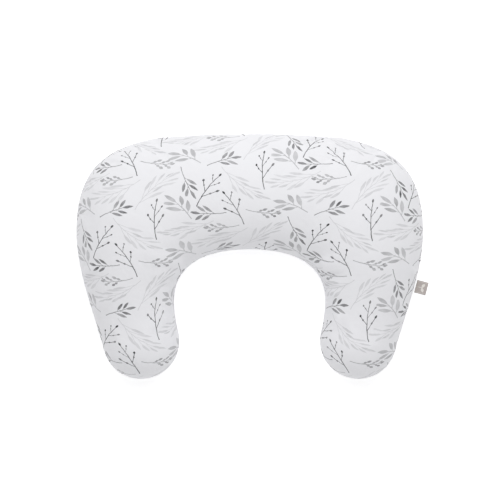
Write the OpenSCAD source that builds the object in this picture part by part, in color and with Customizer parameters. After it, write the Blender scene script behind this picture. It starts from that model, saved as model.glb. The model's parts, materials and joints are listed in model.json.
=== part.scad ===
// Nursing pillow: a U-shaped fibre-filled bolster in a zip-off printed cotton cover.
// It lies on the floor with Z up. The middle of the back band is at the origin,
// the back edge is towards +Y and the two arms point towards -Y. Millimetres.
// The two cover panels meet at a seam half way up the side, which runs right round.
// The zip sits in that seam along the back edge: slider closed at the +X end.

/* [Overall size] */
// width over the widest part of the arms
overall_width = 570; // [420:10:760]
// back edge to the tips of the arms
overall_depth = 405.5; // [320:5:520]
// front-to-back width of the middle band
band_width = 192; // [130:2:240]
// height of the stuffed band when it lies flat
band_height = 150; // [100:2:190]
// height of the stuffed arm tips
tip_height = 106; // [70:2:150]

/* [Opening for the waist] */
// widest inside width between the arms
opening_width = 249; // [180:5:330]
// distance from the back edge's centre line to that widest place
opening_reach = 181.5; // [150:5:230]
// gap between the tips' round ends at their inner sides
mouth_width = 232; // [160:4:320]
// half width of the straight part of the opening's inner end
arch_flat = 84.5; // [40:2:110]
// depth at which the opening's corners finish turning
arch_corner = 128; // [100:2:160]

/* [Arms] */
// radius of the rounded arm tip seen from above
tip_radius = 63; // [40:1:80]
// angle that the arm leans inwards
arm_lean = 15; // [0:1:30]
// how far the back edge runs out before it turns
shoulder_reach = 199; // [120:5:240]
// height above the band's centre line where the shoulder pulls the outline
shoulder_pull = 73; // [20:1:90]
// distance from the band's centre line forward to the widest place
widest_at = 68; // [20:2:110]
// fullness of the outer arm next to the widest place
outer_fullness = 65; // [30:5:100]

/* [Filling and layers] */
// height of the seam as a share of the height
seam_share = 0.47; // [0.4:0.01:0.6]
// side lean of the sagged underside where it meets the floor
floor_turn = 60; // [50:1:75]
// cover fabric with its backing
cover_t = 1.0; // [0.6:0.1:2]
// loose gap between the cover and the liner
cover_gap = 1.5; // [0.8:0.1:4]
// liner fabric
liner_t = 0.8; // [0.4:0.1:1.5]
// gap between the liner and the filling
fill_gap = 0.3; // [0.2:0.1:1]
// sewing thread seam line, square section
thread_t = 0.5; // [0.3:0.1:0.8]

/* [Zip] */
// half length of the zip's teeth
zip_half_length = 110; // [80:2:150]
// plane of the hems beside the zip, in from the back edge
zip_recess = 9.5; // [6:0.5:14]
// half height of the gap between the two hems
hem_gap = 5.0; // [4.5:0.1:7]
// flat part of each hem, up and down from the seam line
hem_flat = 8; // [7:0.5:14]
// spacing of the coil's turns
coil_pitch = 2.0; // [1.4:0.1:3]
// width of the closed chain of teeth
chain_width = 6.0; // [4:0.2:8]
// thickness of the coil
coil_t = 1.9; // [1.2:0.1:2.6]
// tape thickness
tape_t = 0.6; // [0.3:0.1:1]
// tape height from the middle line to its free edge
tape_height = 13; // [9:0.5:18]
// half width of the slit between the two tapes
tape_slit = 0.9; // [0.6:0.1:2]
// running clearance of the slider on tape and teeth
slide_clear = 0.3; // [0.2:0.05:0.6]

/* [Zip slider and pull] */
// length of the slider along the zip
slider_length = 11; // [8:0.5:16]
// thickness of the slider's two plates
plate_t = 0.9; // [0.6:0.1:1.5]
// radius of the pull's hinge bar
bar_r = 0.6; // [0.4:0.05:1]
// radial clearance of the pull on its bar
bar_clear = 0.06; // [0.02:0.01:0.1]
// length of the pull
pull_length = 18; // [10:1:30]
// width of the pull
pull_width = 5; // [3:0.5:6]

/* [Side label] */
// how far the folded label stands out of the seam
label_reach = 20.6; // [10:0.5:35]
// width of the label along the seam
label_width = 21.4; // [10:0.5:40]
// thickness of the folded label, both layers
label_t = 1.0; // [0.6:0.1:2]
// distance from the band's centre line forward to the label's middle
label_at = 156; // [80:2:220]

/* [Stitching] */
// stitch spacing along the hems
stitch_pitch = 4; // [2:0.5:6]
// stitch length
stitch_length = 2.8; // [1.5:0.1:5]

/* [Part to build] */

/* [Hidden] */
$fn = 32;

// ---- outline ----
half_w = overall_width / 2;
back_y = band_width / 2;
tip_y = back_y - overall_depth + tip_radius;
tip_x = mouth_width / 2 + tip_radius;
lean_e = [cos(arm_lean), -sin(arm_lean)];
lean_d = [-sin(arm_lean), -cos(arm_lean)];
outer_end = [tip_x, tip_y] + tip_radius * lean_e;
inner_end = [tip_x, tip_y] - tip_radius * lean_e;

function bez(p, u) = pow(1 - u, 3) * p[0] + 3 * pow(1 - u, 2) * u * p[1]
                   + 3 * (1 - u) * u * u * p[2] + pow(u, 3) * p[3];
outer_a = [[0, back_y], [shoulder_reach, back_y], [half_w, shoulder_pull], [half_w, -widest_at]];
outer_b = [[half_w, -widest_at], [half_w, -widest_at - outer_fullness],
           outer_end - outer_fullness * lean_d, outer_end];
inner_a = [[0, -back_y], [arch_flat, -back_y], [opening_width / 2, -arch_corner],
           [opening_width / 2, -opening_reach]];
inner_b = [[opening_width / 2, -opening_reach], [opening_width / 2, -opening_reach - 16],
           inner_end - 10 * lean_d, inner_end];
outer_split = 0.62;
inner_split = 0.75;
function outer_pt(t) = t <= outer_split ? bez(outer_a, t / outer_split)
                     : bez(outer_b, (t - outer_split) / (1 - outer_split));
function inner_pt(t) = t <= inner_split ? bez(inner_a, t / inner_split)
                     : bez(inner_b, (t - inner_split) / (1 - inner_split));
// place on the outline where X (or Y) takes a given value
function at_x(x, lo = 0, hi = 0.6, n = 24) = n == 0 ? (lo + hi) / 2
    : outer_pt((lo + hi) / 2)[0] < x ? at_x(x, (lo + hi) / 2, hi, n - 1)
    : at_x(x, lo, (lo + hi) / 2, n - 1);
function at_y(y, lo = 0.5, hi = 1, n = 24) = n == 0 ? (lo + hi) / 2
    : outer_pt((lo + hi) / 2)[1] > y ? at_y(y, (lo + hi) / 2, hi, n - 1)
    : at_y(y, lo, (lo + hi) / 2, n - 1);

// ---- stations along the U: [centre, direction, half width, height, tip angle, slit, window] ----
slit_full = zip_half_length + 8;
slit_end = slit_full + 6;
tape_end = slit_end + 4;
window_full = tape_end + 1;
window_end = window_full + 30;
function smooth(v) = let (c = min(1, max(0, v))) c * c * (3 - 2 * c);
function height_at(t) = band_height + (tip_height - band_height) * smooth((t - 0.4) / 0.6);
function station(t, side) =
    let (o = outer_pt(t), i = inner_pt(t), w = norm(o - i) / 2, c = (o + i) / 2,
         n = (o - i) / norm(o - i), x = abs(o[0]))
    [[side * c[0], c[1]], [side * n[0], n[1]], w, height_at(t), 0,
     t > 0.5 ? 0 : smooth((slit_end - x) / (slit_end - slit_full)),
     t > 0.5 ? 0 : smooth((window_end - x) / (window_end - window_full))];
function tip_station(a, side) =
    [[side * tip_x, tip_y], [side * lean_e[0], lean_e[1]], tip_radius, tip_height, a, 0, 0];
label_t0 = at_y(-label_at);
label_a = at_y(-label_at + label_width / 2);
label_b = at_y(-label_at - label_width / 2);
function spread(a, b, n) = [for (k = [1:n]) a + (b - a) * k / n];
steps = concat(
    spread(0, at_x(slit_full), 6),
    [at_x(slit_end), at_x(window_full)],
    spread(at_x(window_full), at_x(window_end), 2),
    spread(at_x(window_end), label_a, 10), [label_b],
    spread(label_b, 1, 4));
tip_angles = [20, 40, 58, 75];
right_side = concat([for (t = steps) station(t, 1)], [for (a = tip_angles) tip_station(a, 1)]);
left_side = concat([for (t = steps) station(t, -1)], [for (a = tip_angles) tip_station(a, -1)]);
count_side = len(right_side);
stations = concat([for (k = [count_side - 1:-1:0]) left_side[k]], [station(0, 1)], right_side);
ring_count = len(stations);
mid_ring = count_side;
thread_ring = mid_ring + 9;
label_ring = mid_ring + 20;
care_ring = mid_ring - 12;

// ---- skin surface ----
// th runs from 0 at the outer seam over the top to 180 at the inner seam;
// up = 1 for the top half and -1 for the underside.
// A skin is [inset, zip plane, half height of its flat at the zip, slit]
side_bulge = 3.2;
bulge_run = 14;
function skin_pt(s, th, up, k) =
    let (c = s[0], n = s[1], h = s[3], ca = cos(s[4]), win = s[6],
         seam_z = seam_share * h, off = k[0],
         rise = ((up > 0 ? h - seam_z : seam_z / sin(floor_turn)) - off) * ca * sin(th),
         dz = rise + k[3] * s[5] * max(0, 1 - th / 20),
         plain = (s[2] + (th < 90 ? side_bulge * win : 0) - off) * ca * cos(th),
         pulled = (k[1] - c[1]) / n[1],
         g = smooth((dz - k[2]) / bulge_run),
         u = th < 90 && win > 0 ? plain + (pulled + (plain - pulled) * g - plain) * win : plain,
         slide = s[4] > 0 ? (s[2] - off) * sin(s[4]) : 0,
         lead = [sign(c[0]) * lean_d[0] * slide, lean_d[1] * slide],
         z = up > 0 ? seam_z + dz : max(off, seam_z - dz))
    [c[0] + n[0] * u + lead[0], c[1] + n[1] * u + lead[1], z];
function tip_end(side, off) =
    [side * (tip_x + lean_d[0] * (tip_radius - off)), tip_y + lean_d[1] * (tip_radius - off),
     seam_share * tip_height];

function distinct(f) = f[0] != f[1] && f[1] != f[2] && f[0] != f[2];
function flip_all(fs) = [for (f = fs) [f[2], f[1], f[0]]];

// Half shell between two skins, closed along the seam by a flat rim.
module half_shell(outer, inner, angles, up) {
    m = len(angles);
    layer = ring_count * m;
    pts = concat(
        [for (s = stations) for (a = angles) skin_pt(s, a, up, outer)],
        [for (s = stations) for (a = angles) skin_pt(s, a, up, inner)],
        [tip_end(-1, outer[0]), tip_end(1, outer[0]), tip_end(-1, inner[0]), tip_end(1, inner[0])]);
    function id(l, i, j) = i < 0 ? 2 * layer + 2 * l : i >= ring_count ? 2 * layer + 2 * l + 1
                         : l * layer + i * m + j;
    function skin_faces(l) = [for (i = [-1:ring_count - 1]) for (j = [0:m - 2])
        for (f = [[id(l, i, j), id(l, i + 1, j), id(l, i + 1, j + 1)],
                  [id(l, i, j), id(l, i + 1, j + 1), id(l, i, j + 1)]])
            if (distinct(f)) f];
    rim = [for (i = [-1:ring_count - 1]) for (f = [
        [id(0, i + 1, 0), id(0, i, 0), id(1, i, 0)],
        [id(0, i + 1, 0), id(1, i, 0), id(1, i + 1, 0)],
        [id(0, i, m - 1), id(0, i + 1, m - 1), id(1, i + 1, m - 1)],
        [id(0, i, m - 1), id(1, i + 1, m - 1), id(1, i, m - 1)]]) if (distinct(f)) f];
    all_faces = concat(skin_faces(0), flip_all(skin_faces(1)), rim);
    polyhedron(points = pts, faces = up > 0 ? all_faces : flip_all(all_faces), convexity = 8);
}

// Solid filling inside one skin.
module filled(skin, angles) {
    m = len(angles);
    loop = concat([for (a = angles) [a, 1]], [for (j = [m - 2:-1:1]) [angles[j], -1]]);
    k = len(loop);
    n = ring_count * k;
    pts = concat([for (s = stations) for (q = loop) skin_pt(s, q[0], q[1], skin)],
                 [tip_end(-1, skin[0]), tip_end(1, skin[0])]);
    function id(i, j) = i < 0 ? n : i >= ring_count ? n + 1 : i * k + j % k;
    // each half splits its squares along the same diagonals as the panels round it
    function split(a, b, c, d, top) = top ? [[a, b, c], [a, c, d]] : [[a, b, d], [b, c, d]];
    polyhedron(points = pts, faces = [for (i = [-1:ring_count - 1]) for (j = [0:k - 1])
        for (f = split(id(i, j), id(i + 1, j), id(i + 1, j + 1), id(i, j + 1), j < m - 1))
            if (distinct(f)) f], convexity = 8);
}

// Thread of square section along the seam, between two insets, round both arm tips.
// It starts and stops on the outer side at start_ring and its mirror image.
module seam_line(from, to, plane, start_ring) {
    top = thread_t / 2;
    k0 = [from, plane - from, hem_flat, 0];
    k1 = [to, plane - to, hem_flat, 0];
    function pair(s, th) = [skin_pt(s, th, 1, k0), skin_pt(s, th, 1, k1)];
    route = concat(
        [for (i = [start_ring:ring_count - 1]) pair(stations[i], 0)],
        [[tip_end(1, from), tip_end(1, to)]],
        [for (i = [ring_count - 1:-1:0]) pair(stations[i], 180)],
        [[tip_end(-1, from), tip_end(-1, to)]],
        [for (i = [0:2 * mid_ring - start_ring]) pair(stations[i], 0)]);
    n = len(route);
    pts = [for (q = route) for (c = [[0, 1], [1, 1], [1, -1], [0, -1]]) q[c[0]] + [0, 0, c[1] * top]];
    sides = [for (i = [0:n - 2]) for (j = [0:3]) let (a = i * 4, b = a + 4, j2 = (j + 1) % 4)
        for (f = [[a + j, b + j, b + j2], [a + j, b + j2, a + j2]]) f];
    ends = [[0, 1, 2], [0, 2, 3], [4 * n - 2, 4 * n - 3, 4 * n - 4], [4 * n - 1, 4 * n - 2, 4 * n - 4]];
    polyhedron(points = pts, faces = concat(sides, ends), convexity = 8);
}

// ---- layer sizes ----
zip_y = back_y - zip_recess;
seam_z0 = seam_share * band_height;
tape_y1 = zip_y - cover_t;
tape_y0 = tape_y1 - tape_t;
inner_plate_y1 = tape_y0 - slide_clear;
inner_plate_y0 = inner_plate_y1 - plate_t;
outer_plate_y0 = tape_y1 + coil_t + slide_clear;
outer_plate_y1 = outer_plate_y0 + plate_t;
liner_in = cover_t + cover_gap;
liner_y = inner_plate_y0 - 0.5;
liner_flat = tape_height + 1.5;
fill_in = liner_in + liner_t + fill_gap;
// angle of the ring that ends the flat hem where the stitches lie, on the taller of the two halves
half_tall = max(band_height * (1 - seam_share), band_height * seam_share / sin(floor_turn));
hem_ring = 0.96 * (hem_flat - hem_gap) / (half_tall * PI / 180 - hem_gap / 20);
fine = [0, hem_ring, max(6, hem_ring + 3), max(11, hem_ring + 7), 20, 35, 50, 60, 75, 90, 105, 120,
    135, 150, 165, 180];
medium = [0, 9, 14, 20, 35, 60, 90, 120, 150, 180];
cover_out = [0, zip_y, hem_flat, hem_gap];
cover_in = [cover_t, tape_y1, hem_flat, hem_gap];
liner_out = [liner_in, liner_y, liner_flat, 0];
liner_inn = [liner_in + liner_t, liner_y - liner_t, liner_flat, 0];
fill_skin = [fill_in, liner_y - liner_t - fill_gap, liner_flat, 0];

// ---- cover ----
module cover_front_panel() {
    color([0.93, 0.93, 0.94]) half_shell(cover_out, cover_in, fine, 1);
}
module cover_back_panel() {
    color([0.91, 0.91, 0.92]) half_shell(cover_out, cover_in, fine, -1);
}
module cover_seam_thread() {
    color([0.88, 0.88, 0.88])
        seam_line(cover_t + 0.1, cover_t + 0.1 + thread_t, zip_y, thread_ring);
}

// ---- liner and filling ----
module liner_front_panel() {
    color([0.96, 0.96, 0.95]) half_shell(liner_out, liner_inn, medium, 1);
}
module liner_back_panel() {
    color([0.95, 0.95, 0.94]) half_shell(liner_out, liner_inn, medium, -1);
}
module liner_seam_thread() {
    color([0.9, 0.9, 0.88])
        seam_line(liner_in - 0.1 - thread_t, liner_in - 0.1, liner_y + liner_in, thread_ring);
}
module fibre_fill() {
    color([0.98, 0.98, 0.97]) filled(fill_skin, medium);
}

// ---- zip ----
module tape(up) {
    translate([-tape_end, tape_y0, up > 0 ? seam_z0 + tape_slit : seam_z0 - tape_height])
        cube([2 * tape_end, tape_t, tape_height - tape_slit]);
}
module zip_tape_upper() { color([0.9, 0.9, 0.9]) tape(1); }
module zip_tape_lower() { color([0.9, 0.9, 0.9]) tape(-1); }

// One row of coil turns: a spine with teeth that reach past the middle line.
spine_in = chain_width / 4;
tooth_w = coil_pitch * 0.41;
module coil_row(phase) {
    last = floor((2 * zip_half_length - phase - tooth_w) / coil_pitch);
    edge = [for (k = [0:last]) let (x = -zip_half_length + phase + k * coil_pitch)
        for (q = [[x, spine_in], [x, -spine_in + slide_clear],
                  [x + tooth_w, -spine_in + slide_clear], [x + tooth_w, spine_in]]) q];
    translate([0, tape_y1 + coil_t, seam_z0]) rotate([90, 0, 0]) linear_extrude(coil_t)
        polygon(concat([[-zip_half_length, spine_in]], edge,
                       [[zip_half_length, spine_in], [zip_half_length, chain_width / 2],
                        [-zip_half_length, chain_width / 2]]));
}
module zip_coil_upper() { color([0.86, 0.86, 0.86]) coil_row(0.2); }
module zip_coil_lower() {
    color([0.86, 0.86, 0.86])
        translate([0, 0, 2 * seam_z0]) mirror([0, 0, 1]) coil_row(0.2 + coil_pitch / 2);
}

// slider: two plates joined by a post ahead of the last teeth, flanges outside the chain
post_x0 = zip_half_length + slide_clear + 0.2;
post_w = 1.6;
slider_x1 = post_x0 + post_w + 1.2;
slider_x0 = slider_x1 - slider_length;
slider_half = chain_width / 2 + slide_clear + 0.9;
bar_x = slider_x0 + slider_length * 0.45;
bar_y = outer_plate_y1 + bar_r + 0.85;
eye_r = bar_r + bar_clear + 0.45;
ear_in = 1.9;
ear_t = 0.8;
module zip_slider() {
    color([0.75, 0.75, 0.74]) {
        translate([slider_x0, inner_plate_y0, seam_z0 - slider_half])
            cube([slider_length, plate_t, 2 * slider_half]);
        translate([slider_x0, outer_plate_y0, seam_z0 - slider_half])
            cube([slider_length, plate_t, 2 * slider_half]);
        for (s = [-1, 1])
            translate([slider_x0, tape_y1 + slide_clear,
                       seam_z0 + (s > 0 ? slider_half - 0.9 : -slider_half)])
                cube([slider_length, coil_t + plate_t / 2, 0.9]);
        translate([post_x0, inner_plate_y0 + plate_t / 2, seam_z0 - 0.6])
            cube([post_w, outer_plate_y0 - inner_plate_y0, 1.2]);
        for (s = [-1, 1])
            translate([bar_x - 1, outer_plate_y1 - 0.3, seam_z0 + (s > 0 ? ear_in : -ear_in - ear_t)])
                cube([2, bar_y + 1 - outer_plate_y1 + 0.3, ear_t]);
        translate([bar_x, bar_y, seam_z0 - ear_in - ear_t / 2])
            cylinder(r = bar_r, h = 2 * ear_in + ear_t);
    }
}
module zip_puller() {
    eye_h = ear_in - 0.3;
    color([0.75, 0.75, 0.74]) difference() {
        union() {
            translate([bar_x, bar_y, seam_z0 - eye_h]) cylinder(r = eye_r, h = 2 * eye_h);
            translate([bar_x - 4.5, bar_y - 0.45, seam_z0 - eye_h]) cube([4.5, 0.9, 2 * eye_h]);
            translate([bar_x - pull_length, bar_y - 0.45, seam_z0 - pull_width / 2])
                cube([pull_length - 4, 0.9, pull_width]);
        }
        translate([bar_x, bar_y, seam_z0 - eye_h - 1]) cylinder(r = bar_r + bar_clear, h = 2 * eye_h + 2);
    }
}
module zip_top_stops() {
    color([0.8, 0.8, 0.8]) for (s = [-1, 1])
        translate([slider_x1 + slide_clear, tape_y1, seam_z0 + (s > 0 ? tape_slit : -tape_slit - 1.6)])
            cube([1.8, coil_t, 1.6]);
}
module zip_bottom_stop() {
    color([0.8, 0.8, 0.8])
        translate([-zip_half_length - 2.6, tape_y1, seam_z0 - 2.6]) cube([2.3, coil_t, 5.2]);
}
module zip_stitching() {
    last = floor((slit_full - stitch_length) / stitch_pitch);
    color([0.85, 0.85, 0.85]) for (s = [-1, 1]) for (k = [-last:last])
        translate([k * stitch_pitch - stitch_length / 2, zip_y, seam_z0 + s * (hem_gap + 1.4) - 0.25])
            cube([stitch_length, 0.35, 0.5]);
}

// ---- labels ----
label_p = outer_pt(label_t0);
label_tan = outer_pt(label_t0 + 0.004) - outer_pt(label_t0 - 0.004);
label_turn = atan2(label_tan[1], label_tan[0]) + 90;
label_z = seam_share * height_at(label_t0);
label_root = 1.0;
// folded woven tab: two layers joined by a round fold at the free end
module side_label() {
    ply = label_t * 0.36;
    color([0.62, 0.58, 0.53]) translate([label_p[0], label_p[1], label_z]) rotate([0, 0, label_turn])
        rotate([90, 0, 0]) linear_extrude(label_width, center = true) difference() {
            union() {
                translate([label_root - 0.3, -label_t / 2])
                    square([label_reach - label_t / 2 - label_root + 0.3, label_t]);
                translate([label_reach - label_t / 2, 0]) circle(label_t / 2);
            }
            translate([label_root - 1, -label_t / 2 + ply])
                square([label_reach - label_t / 2 - label_root + 1, label_t - 2 * ply]);
        }
}
// Patch of cloth between two insets. It spans the rings first to last and some of the
// panels' own angles, so its faces lie parallel to theirs.
module inside_patch(first, last, from_angle, to_angle, up, from, to) {
    arc = [for (a = fine) if (a >= from_angle && a <= to_angle) a];
    nt = last - first;
    r = len(arc);
    ks = [[from, back_y, hem_flat, 0], [to, back_y, hem_flat, 0]];
    pts = [for (k = ks) for (i = [first:last]) for (a = arc) skin_pt(stations[i], a, up, k)];
    l = (nt + 1) * r;
    skin = [for (i = [0:nt - 1]) for (j = [0:r - 2]) for (f = [
        [i * r + j, (i + 1) * r + j, (i + 1) * r + j + 1],
        [i * r + j, (i + 1) * r + j + 1, i * r + j + 1]]) f];
    under = [for (f = skin) [f[2] + l, f[1] + l, f[0] + l]];
    border = concat([for (i = [0:nt - 1]) [i * r, (i + 1) * r]],
                    [for (j = [0:r - 2]) [nt * r + j, nt * r + j + 1]],
                    [for (i = [nt:-1:1]) [i * r + r - 1, (i - 1) * r + r - 1]],
                    [for (j = [r - 1:-1:1]) [j, j - 1]]);
    wall = [for (e = border) for (f = [[e[1], e[0], e[0] + l], [e[1], e[0] + l, e[1] + l]]) f];
    fs = concat(skin, under, wall);
    polyhedron(points = pts, faces = up > 0 ? fs : flip_all(fs), convexity = 4);
}
module side_label_tail() {
    color([0.6, 0.56, 0.51])
        inside_patch(label_ring, label_ring + 1, 2, 12, 1, cover_t + 0.3, cover_t + 0.9);
}
module care_label() {
    color([0.95, 0.95, 0.95])
        inside_patch(care_ring - 1, care_ring, 2, 36, -1, cover_t + 0.3, cover_t + 0.7);
}

cover_front_panel();
cover_back_panel();
cover_seam_thread();
zip_tape_upper();
zip_tape_lower();
zip_coil_upper();
zip_coil_lower();
zip_top_stops();
zip_bottom_stop();
zip_stitching();
zip_slider();
zip_puller();
side_label();
side_label_tail();
care_label();
liner_front_panel();
liner_back_panel();
liner_seam_thread();
fibre_fill();
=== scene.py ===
"""Nursing pillow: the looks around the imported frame. Metres, X right, Y towards the back band, Z up.

The printed cover is cut as two panels whose shape follows the frame's, loosened near the seam and
settled by a cloth simulation. The liner and filling follow the settled cover from inside.
"""
import json
import math
from math import radians

import bmesh
import bpy
import numpy as np
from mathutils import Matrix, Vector
from numpy.linalg import norm

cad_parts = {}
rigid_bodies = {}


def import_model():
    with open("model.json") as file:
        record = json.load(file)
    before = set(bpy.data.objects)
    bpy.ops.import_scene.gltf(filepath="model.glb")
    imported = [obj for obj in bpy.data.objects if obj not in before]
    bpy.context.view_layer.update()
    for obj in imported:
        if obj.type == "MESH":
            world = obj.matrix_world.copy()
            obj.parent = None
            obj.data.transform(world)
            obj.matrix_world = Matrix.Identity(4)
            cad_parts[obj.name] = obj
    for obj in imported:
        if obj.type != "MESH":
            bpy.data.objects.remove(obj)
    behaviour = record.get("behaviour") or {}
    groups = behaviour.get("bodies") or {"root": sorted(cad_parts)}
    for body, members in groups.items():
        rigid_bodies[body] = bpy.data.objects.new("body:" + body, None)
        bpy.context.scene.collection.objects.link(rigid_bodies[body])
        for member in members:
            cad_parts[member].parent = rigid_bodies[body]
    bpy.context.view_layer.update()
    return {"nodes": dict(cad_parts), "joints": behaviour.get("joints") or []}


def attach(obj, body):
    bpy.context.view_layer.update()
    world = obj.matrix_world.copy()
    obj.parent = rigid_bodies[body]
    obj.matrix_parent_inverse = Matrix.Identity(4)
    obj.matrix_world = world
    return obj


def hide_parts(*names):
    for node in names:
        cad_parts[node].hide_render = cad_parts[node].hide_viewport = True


for leftover in list(bpy.data.objects):
    bpy.data.objects.remove(leftover)
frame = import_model()
scene = bpy.context.scene

# ---- driving sizes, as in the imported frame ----
OVERALL_WIDTH = 0.570
OVERALL_DEPTH = 0.4055
BAND_WIDTH = 0.192
BAND_HEIGHT = 0.150
TIP_HEIGHT = 0.106
OPENING_WIDTH = 0.249
OPENING_REACH = 0.1815
MOUTH_WIDTH = 0.232
ARCH_FLAT = 0.0845
ARCH_CORNER = 0.128
TIP_RADIUS = 0.063
ARM_LEAN = radians(15)
SHOULDER_REACH = 0.199
SHOULDER_PULL = 0.073
WIDEST_AT = 0.068
OUTER_FULLNESS = 0.065
SEAM_SHARE = 0.47
FLOOR_TURN = radians(60)
COVER_T = 0.001
ZIP_HALF = 0.110
ZIP_RECESS = 0.0095
HEM_GAP = 0.005
HEM_FLAT = 0.008
HEM_FADE = radians(20)
BULGE_RUN = 0.014
SIDE_BULGE = 0.0032
LABEL_REACH = 0.0206
LABEL_WIDTH = 0.0214
LABEL_ROOT = 0.001

BACK_Y = BAND_WIDTH / 2
TIP_CENTRE = np.array([MOUTH_WIDTH / 2 + TIP_RADIUS, BACK_Y - OVERALL_DEPTH + TIP_RADIUS])
LEAN_E = np.array([math.cos(ARM_LEAN), -math.sin(ARM_LEAN)])
LEAN_D = np.array([-math.sin(ARM_LEAN), -math.cos(ARM_LEAN)])
SEAM_Z = SEAM_SHARE * BAND_HEIGHT
ZIP_Y = BACK_Y - ZIP_RECESS
SLIT_FULL = ZIP_HALF + 0.008
SLIT_END = SLIT_FULL + 0.006
WINDOW_FULL = SLIT_END + 0.005
WINDOW_END = WINDOW_FULL + 0.030


def bezier(points, u):
    """Points of a cubic curve with four control points."""
    p = np.asarray(points, float)
    u = np.asarray(u, float)[..., None]
    v = 1 - u
    return v ** 3 * p[0] + 3 * v * v * u * p[1] + 3 * v * u * u * p[2] + u ** 3 * p[3]


OUTER_END = TIP_CENTRE + TIP_RADIUS * LEAN_E
INNER_END = TIP_CENTRE - TIP_RADIUS * LEAN_E
# half of each outline seen from above: the share of t on its first curve, then the two curves
OUTER = (
    0.62,
    [(0, BACK_Y), (SHOULDER_REACH, BACK_Y),
     (OVERALL_WIDTH / 2, SHOULDER_PULL), (OVERALL_WIDTH / 2, -WIDEST_AT)],
    [(OVERALL_WIDTH / 2, -WIDEST_AT), (OVERALL_WIDTH / 2, -WIDEST_AT - OUTER_FULLNESS),
     OUTER_END - OUTER_FULLNESS * LEAN_D, OUTER_END],
)
INNER = (
    0.75,
    [(0, -BACK_Y), (ARCH_FLAT, -BACK_Y),
     (OPENING_WIDTH / 2, -ARCH_CORNER), (OPENING_WIDTH / 2, -OPENING_REACH)],
    [(OPENING_WIDTH / 2, -OPENING_REACH), (OPENING_WIDTH / 2, -OPENING_REACH - 0.016),
     INNER_END - 0.010 * LEAN_D, INNER_END],
)


def edge(outline, t):
    """Points of half the outline, seen from above; t runs from 0 at the middle to 1 at the arm's tip."""
    split, first, second = outline
    t = np.asarray(t, float)
    near = bezier(first, np.clip(t / split, 0, 1))
    far = bezier(second, np.clip((t - split) / (1 - split), 0, 1))
    return np.where((t <= split)[..., None], near, far)


def smooth(v):
    """Smooth step from 0 to 1 as v goes from 0 to 1."""
    c = np.clip(v, 0, 1)
    return c * c * (3 - 2 * c)


# ---- stations along the U ----
GRID = 0.0042
ACROSS = 66
TIP_ROWS = 22


def stations():
    """Rows along the U from the left tip to the right one, evenly spaced along the crown."""
    fine = np.linspace(0, 1, 2000)
    crown = (edge(OUTER, fine) + edge(INNER, fine)) / 2
    run = np.concatenate([[0], np.cumsum(norm(np.diff(crown, axis=0), axis=1))])
    count = int(round(run[-1] / GRID))
    t = np.interp(np.linspace(0, run[-1], count + 1), run, fine)
    half = [(v, 0.0) for v in t[1:]] + [(1.0, math.pi / 2 * k / TIP_ROWS) for k in range(1, TIP_ROWS + 1)]
    rows = [(-1, v, b) for v, b in reversed(half)] + [(1, 0.0, 0.0)] + [(1, v, b) for v, b in half]
    side, t, tip = (np.array(c, float) for c in zip(*rows))
    outer, inner = edge(OUTER, t), edge(INNER, t)
    centre, reach = (outer + inner) / 2, outer - inner
    width = norm(reach, axis=1)
    normal = reach / width[:, None]
    mirror = np.stack([side, np.ones_like(side)], 1)
    height = BAND_HEIGHT + (TIP_HEIGHT - BAND_HEIGHT) * smooth((t - 0.4) / 0.6)
    return {
        "side": side, "t": t, "tip": tip, "centre": centre * mirror, "normal": normal * mirror,
        "half": width / 2, "height": height, "x": np.abs(outer[:, 0]), "band": t < 0.5,
    }


def col(values):
    """One value per row, shaped to combine with one value per angle."""
    return values[:, None]


def panel(rows, angles, up, inset=0.0, zip_y=ZIP_Y, flat=HEM_FLAT, gap=HEM_GAP):
    """Grid of points of one cover panel: rows along the U, columns from the outer seam to the inner one."""
    th = angles[None, :]
    tip = col(rows["tip"])
    seam_z = SEAM_SHARE * col(rows["height"])
    tall = col(rows["height"]) - seam_z if up > 0 else seam_z / math.sin(FLOOR_TURN)
    slit = smooth((SLIT_END - rows["x"]) / (SLIT_END - SLIT_FULL))
    slit = col(np.where(rows["band"], slit, 0))
    window = smooth((WINDOW_END - rows["x"]) / (WINDOW_END - WINDOW_FULL))
    window = col(np.where(rows["band"], window, 0))
    rise = (tall - inset) * np.cos(tip) * np.sin(th)
    lift = gap * slit * np.clip(1 - th / HEM_FADE, 0, 1)
    dz = rise + lift
    outside = th < math.pi / 2
    across = np.cos(th)
    ahead = np.sin(tip)
    plain = (col(rows["half"]) + np.where(outside, SIDE_BULGE * window, 0) - inset) * across
    pulled = (zip_y - col(rows["centre"][:, 1])) / col(rows["normal"][:, 1])
    bulge = smooth((dz - flat) / BULGE_RUN)
    drawn = plain + (pulled + (plain - pulled) * bulge - plain) * window
    u = np.where(outside & (window > 0), drawn, plain)
    on_tip = col(rows["tip"] > 0)
    u = np.where(on_tip, (TIP_RADIUS - inset) * across * np.sqrt(1 - ahead ** 2 / 2), u)
    along = np.where(on_tip, (TIP_RADIUS - inset) * ahead * np.sqrt(1 - across ** 2 / 2), 0)
    z = seam_z + dz if up > 0 else np.maximum(inset, seam_z - dz)
    x = col(rows["centre"][:, 0]) + col(rows["normal"][:, 0]) * u + col(rows["side"]) * LEAN_D[0] * along
    y = col(rows["centre"][:, 1]) + col(rows["normal"][:, 1]) * u + LEAN_D[1] * along
    return np.stack([x, y, z + 0 * x], 2)


def grid_faces(n, m, up, start=0):
    """Four-sided faces of an n by m grid of points, facing up or down."""
    i, j = np.meshgrid(np.arange(n - 1), np.arange(m - 1), indexing="ij")
    a = start + i * m + j
    quad = np.stack([a, a + 1, a + m + 1, a + m], 2).reshape(-1, 4)
    return quad if up > 0 else quad[:, ::-1]


def stacked(*grids):
    """Every point of the grids, one grid after the other."""
    return np.concatenate([g.reshape(-1, g.shape[-1]) for g in grids])


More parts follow.
